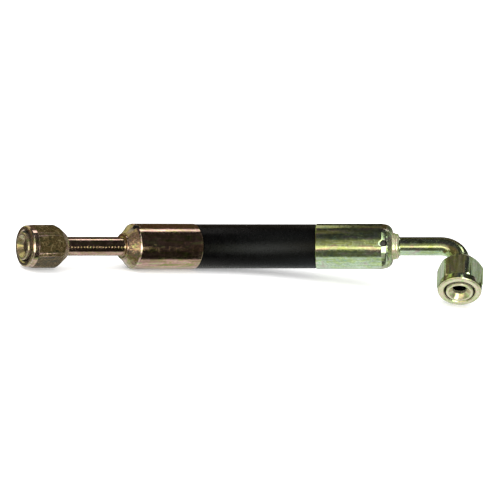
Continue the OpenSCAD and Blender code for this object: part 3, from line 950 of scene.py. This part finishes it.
left_rim = [(LEFT_NUT_COLLAR_R - LEFT_RIM_BAND, 0, LEFT_RIM_FILLET),
            (LEFT_NUT_COLLAR_R, -LEFT_RIM_BAND / math.tan(LEFT_RIM_SLOPE), LEFT_BAND_FILLET)]
right_rim = [(RIGHT_NUT_COLLAR_R, 0, RIGHT_RIM_FILLET)]
left_hex = swivel_nut("left_nut_hex", LEFT_NUT_FLAT_R, LEFT_NUT_LEN, left_rim, LEFT_NUT_REAR_R, LEFT_CONE_LEN)
right_hex = swivel_nut("right_nut_hex", RIGHT_NUT_FLAT_R, RIGHT_NUT_LEN, right_rim, RIGHT_NUT_REAR_R,
                       RIGHT_CONE_LEN)
mark_finish_and_shade(left_hex.data, nut_finish_and_shade(1.0, LEFT_CLEAN_LEN - LEFT_NUT_LEN, -NUT_COLLAR_LEN, LEFT_RIM_BRIGHT))
mark_finish_and_shade(right_hex.data, nut_finish_and_shade(0.0, -RIGHT_NUT_LEN, -RIGHT_RIM_LEN, 1.0))
piece(left_hex, bronze, "left_nut", ["left_nut"], at_left_nut)
piece(right_hex, yellow, "right_nut", ["right_nut"], at_right_nut)

# ---------------------------------------------------------------- elbow tube and hose

ELBOW_STEPS = 36
TUBE_SIDES = 96
HALF_ARC_STEPS = 32
CRIMPED_STEPS = 4
HOSE_SIDES = 96


def swept(name, stations, r_out, r_in, sides):
    """A tube along stations of (origin, x, y, length so far), in mm, closed at both ends."""
    skins = [(s, r_out) for s in stations] + [(s, r_in) for s in reversed(stations)]
    rows, straight = [], []
    for (origin, x, y, run), r in skins:
        angles = [2 * math.pi * j / sides for j in range(sides)]
        rows.append([origin + (x * math.cos(a) + y * math.sin(a)) * r for a in angles])
        straight.append([(r * math.cos(a), r * math.sin(a), run) for a in angles])
    return closed_grid(name, rows, straight)


def elbow_tube():
    """The tube in the right fitting's own frame: straight, a tight quarter bend, straight to the nose."""
    leg = at_right.to_3x3().transposed() @ leg_axis
    out = Vector((0, 0, 1))
    side = out.cross(leg)
    stations = []
    foot = RIGHT_COLLAR_END - INSERT_SOCKET
    for z in (foot, RIGHT_COLLAR_END, (RIGHT_COLLAR_END + BEND_START_Z) / 2):
        stations.append((out * z, leg, side, z))
    for i in range(ELBOW_STEPS + 1):
        a = QUARTER_TURN * i / ELBOW_STEPS
        centre = out * BEND_START_Z + leg * ELBOW_R
        spoke = out * math.sin(a) - leg * math.cos(a)
        stations.append((centre + spoke * ELBOW_R, -spoke, side, BEND_START_Z + ELBOW_R * a))
    end = BEND_START_Z + ELBOW_R * QUARTER_TURN + TUBE_END_D - ELBOW_R
    stations.append((out * LEG_AXIS_Z + leg * TUBE_END_D, -out, side, end))
    return swept("right_elbow_bent", stations, TUBE_R, TUBE_BORE_R, TUBE_SIDES)


piece(elbow_tube(), yellow, "right_end", ["right_elbow_tube"], at_right)


def hose_station(run):
    """A section of the hose, run mm from its middle towards the right end."""
    half = HOSE_FREE_LEN / 2
    a = min(max(run, -half), half) / bend_r
    origin = arc_centre / MM + (along * math.sin(a) - inward * math.cos(a)) * bend_r
    tangent = along * math.cos(a) + inward * math.sin(a)
    origin += tangent * (run - a * bend_r)
    return (origin, bend_normal, tangent.cross(bend_normal), run)


def hose_half(name, side, r_out, r_in, reach):
    """Half of one layer, from the middle of the hose to reach mm past the mouth of one shell."""
    half = HOSE_FREE_LEN / 2
    runs = [half * i / HALF_ARC_STEPS for i in range(HALF_ARC_STEPS + 1)]
    if reach > 0:
        runs += [half + reach * i / CRIMPED_STEPS for i in range(1, CRIMPED_STEPS + 1)]
    else:
        runs[-1] += reach
    return swept(name, [hose_station(side * run) for run in runs], r_out, r_in, HOSE_SIDES)


def hose_layer(node, material, r_out, r_in, reach):
    """Both halves of a layer: each runs from the middle of the hose to its shell."""
    ends = {-1: ("left_end", left_mouth, "_left_half"), 1: ("right_end", right_mouth, "_right_half")}
    for side, (body, mouth, suffix) in ends.items():
        obj = hose_half(node + suffix, side, r_out, r_in, reach)
        piece(obj, material, None, [node])
        if side < 0:
            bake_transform(obj)
        else:
            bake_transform(obj)


hose_layer("hose_inner_tube", tube_rubber, INNER_TUBE_R - LAYER_GAP, HOSE_BORE_R, HOSE_DEPTH)
hose_layer("hose_braid_inner", wire_braid, BRAID_INNER_R - LAYER_GAP, INNER_TUBE_R, HOSE_DEPTH)
hose_layer("hose_insulation", tube_rubber, INSULATION_R - LAYER_GAP, BRAID_INNER_R, HOSE_DEPTH)
hose_layer("hose_braid_outer", wire_braid, BRAID_OUTER_R - LAYER_GAP, INSULATION_R, HOSE_DEPTH)
hose_layer("hose_cover", cover_rubber, COVER_R, BRAID_OUTER_R, -MOUTH_GAP)

# ---------------------------------------------------------------- floor, light and world

FLOOR_HALF_M = 3.0
FLOOR_COLOUR = (0.86, 0.86, 0.86, 1)
FLOOR_GLOW = 0.3
KEY_DIRECTION = (-0.2, 0.9, 0.5)
KEY_SIZE_M = 0.8
KEY_DISTANCE_M = 1.2
KEY_POWER = 3


def add_floor():
    """A plain pale floor, which the plating doesn't mirror."""
    h = FLOOR_HALF_M
    mesh = bpy.data.meshes.new("floor")
    mesh.from_pydata([(-h, -h, 0), (h, -h, 0), (h, h, 0), (-h, h, 0)], [], [(0, 1, 2, 3)])
    floor = bpy.data.objects.new("floor", mesh)
    bpy.context.collection.objects.link(floor)
    s = material_shader("floor")
    mesh.materials.append(s.surface(Base_Color=FLOOR_COLOUR, Roughness=0.9, Specular_IOR_Level=0.0,
                                    Emission_Color=(1, 1, 1, 1), Emission_Strength=FLOOR_GLOW))
    floor.visible_glossy = False


def add_key_light():
    """A square soft light over the object, which the plating doesn't mirror."""
    data = bpy.data.lights.new("key_light", "AREA")
    data.shape = "SQUARE"
    data.size = KEY_SIZE_M
    data.energy = KEY_POWER
    light = bpy.data.objects.new("key_light", data)
    toward = camera_direction(*KEY_DIRECTION)
    side = cam_up.cross(toward).normalized()
    light.matrix_world = place(mid_hose + toward * KEY_DISTANCE_M, toward, side)
    light.visible_camera = False
    light.visible_glossy = False
    bpy.context.collection.objects.link(light)


# What the plating mirrors. A place is given by the surface that mirrors it to the camera: turn is that
# surface's angle to the camera's right in degrees, and lift the height of its normal from -1 (down) to
# 1 (up). Each patch is (turn from, turn to, its fade, lift from, lift to, its fade, colour), and a later
# one covers an earlier one.
ROOM = (0.024, 0.020, 0.016, 1)
PATCHES = [
    (-30, 14, 8, -0.30, 0.60, 0.20, (0.038, 0.037, 0.043)),    # bluish front of the room
    (-95, 95, 2, -1.10, -0.60, 0.04, (0.80, 0.78, 0.74)),      # pale floor
    (-95, 8, 2, -1.10, -0.48, 0.05, (0.86, 0.94, 0.94)),       # brighter floor, seen from the right end
    (11, 18, 2, -1.10, -0.45, 0.05, (0.05, 0.05, 0.05)),       # dark mat under the hose
    (12, 62, 4, 0.78, 1.10, 0.02, (0.085, 0.055, 0.022)),      # brown wall behind, seen from the left end
    (22, 34, 3, 0.665, 0.73, 0.02, (2.7, 2.6, 2.5)),           # long lamp over the left end
    (-12, 10, 3, 0.82, 0.86, 0.025, (0.11, 0.08, 0.04)),       # dim olive lamp over the right end
    (-60, -12, 3, 0.81, 0.90, 0.03, (0.90, 0.80, 0.60)),       # lamp over the elbow
    (-18, -9, 1.5, 0.56, 0.68, 0.03, (0.18, 0.14, 0.09)),      # brown panel over the right nut
    (-36, -17, 3, -0.58, 0.55, 0.08, (0.16, 0.125, 0.040)),    # olive-brown boxes left of the middle
    (-70, -37, 4, 0.10, 0.50, 0.10, (0.16, 0.11, 0.06)),       # brown boxes at the left
    (-70, -37, 4, -0.60, -0.14, 0.08, (0.55, 0.62, 0.44)),     # pale green bench at the left
    (39, 69, 3, -0.62, -0.24, 0.05, (0.60, 0.68, 0.55)),       # pale green bench at the right
    (-20, 8, 4, -0.44, -0.16, 0.06, (0.14, 0.14, 0.12)),       # dim front of the bench
    (-70, -30, 4, 0.52, 0.78, 0.04, (0.66, 0.72, 0.30)),       # yellow-green glow at the upper left
    (-30, -20, 2, -0.12, 0.10, 0.04, (1.40, 1.30, 0.80)),      # lamp in the middle of the left shoulder
    (-18, 3, 4, 0.08, 0.12, 0.24, (0.52, 0.48, 0.33)),         # glow over the front lamp
    (-18, 3, 4, -0.11, 0.01, 0.04, (1.80, 1.62, 1.00)),        # front lamp
    (5, 15, 3, -0.22, -0.02, 0.07, (5.0, 5.2, 4.9)),           # front lamp of the hose
    (20, 24, 1.5, -0.13, -0.06, 0.03, (4.5, 4.6, 2.8)),        # small lamp, caught by the turned rings
    (6.0, 8.0, 1.5, 0.05, 0.55, 0.10, (2.2, 2.4, 2.2)),        # upper part of a tall lamp
    (4.5, 9.5, 1.5, -0.25, 0.05, 0.10, (3.8, 4.0, 3.8)),       # tall lamp, caught by the edge bands
    (4, 10, 2, -0.62, -0.28, 0.04, (0.60, 0.62, 0.50)),        # pale box under the tall lamp
    (52, 69, 3, 0.26, 0.48, 0.05, (0.44, 0.46, 0.42)),         # pale wall at the right
    (36, 66, 4, -0.20, 0.16, 0.06, (0.14, 0.12, 0.08)),        # brown wall below it
    (-86, -70, 3, -0.20, 0.50, 0.08, (0.62, 0.66, 0.60)),      # pale wall at the far left
]

# Surfaces at a grazing angle mirror what is straight behind the object. Where that ends and where the room
# starts are cosines of a direction's angle to the camera.
BEHIND = (0.30, 0.28, 0.25, 1)
BEHIND_TO = -0.97
ROOM_FROM = -0.90
EVEN_LIGHT = 1.5


def add_world():
    """Glossy rays see the painted studio, and all others an even white sky."""
    world = bpy.data.worlds.new("studio")
    bpy.context.scene.world = world
    s = Shader(world)
    toward = s.add("TexCoord").outputs["Generated"]
    between = s.add("VectorMath", {0: toward, 1: cam_back}, operation="ADD").outputs[0]
    mirror = s.add("VectorMath", {0: between}, operation="NORMALIZE").outputs[0]
    lift = s.dot(mirror, cam_up)
    turn = s.math("DEGREES", s.math("ARCTAN2", s.dot(mirror, cam_right), s.dot(mirror, cam_back)))
    room = ROOM
    for turn_from, turn_to, turn_fade, lift_from, lift_to, lift_fade, colour in PATCHES:
        across = s.within(turn, turn_from, turn_to, turn_fade)
        mask = s.math("MULTIPLY", across, s.within(lift, lift_from, lift_to, lift_fade))
        room = s.mix(mask, room, (*colour, 1))
    behind = s.remap(s.dot(toward, cam_back), BEHIND_TO, ROOM_FROM, 1.0, 0.0)
    room = s.mix(behind, room, BEHIND)
    mirrored = s.add("Background", {"Color": room, "Strength": 1.0})
    even = s.add("Background", {"Color": (1, 1, 1, 1), "Strength": EVEN_LIGHT})
    glossy = s.add("LightPath").outputs["Is Glossy Ray"]
    mixed = s.add("MixShader", {0: glossy, 1: even.outputs[0], 2: mirrored.outputs[0]})
    s.add("OutputWorld", {"Surface": mixed.outputs[0]})


add_floor()
add_world()
add_key_light()
bpy.context.scene.view_settings.view_transform = "Standard"
bpy.context.scene.cycles.use_denoising = True
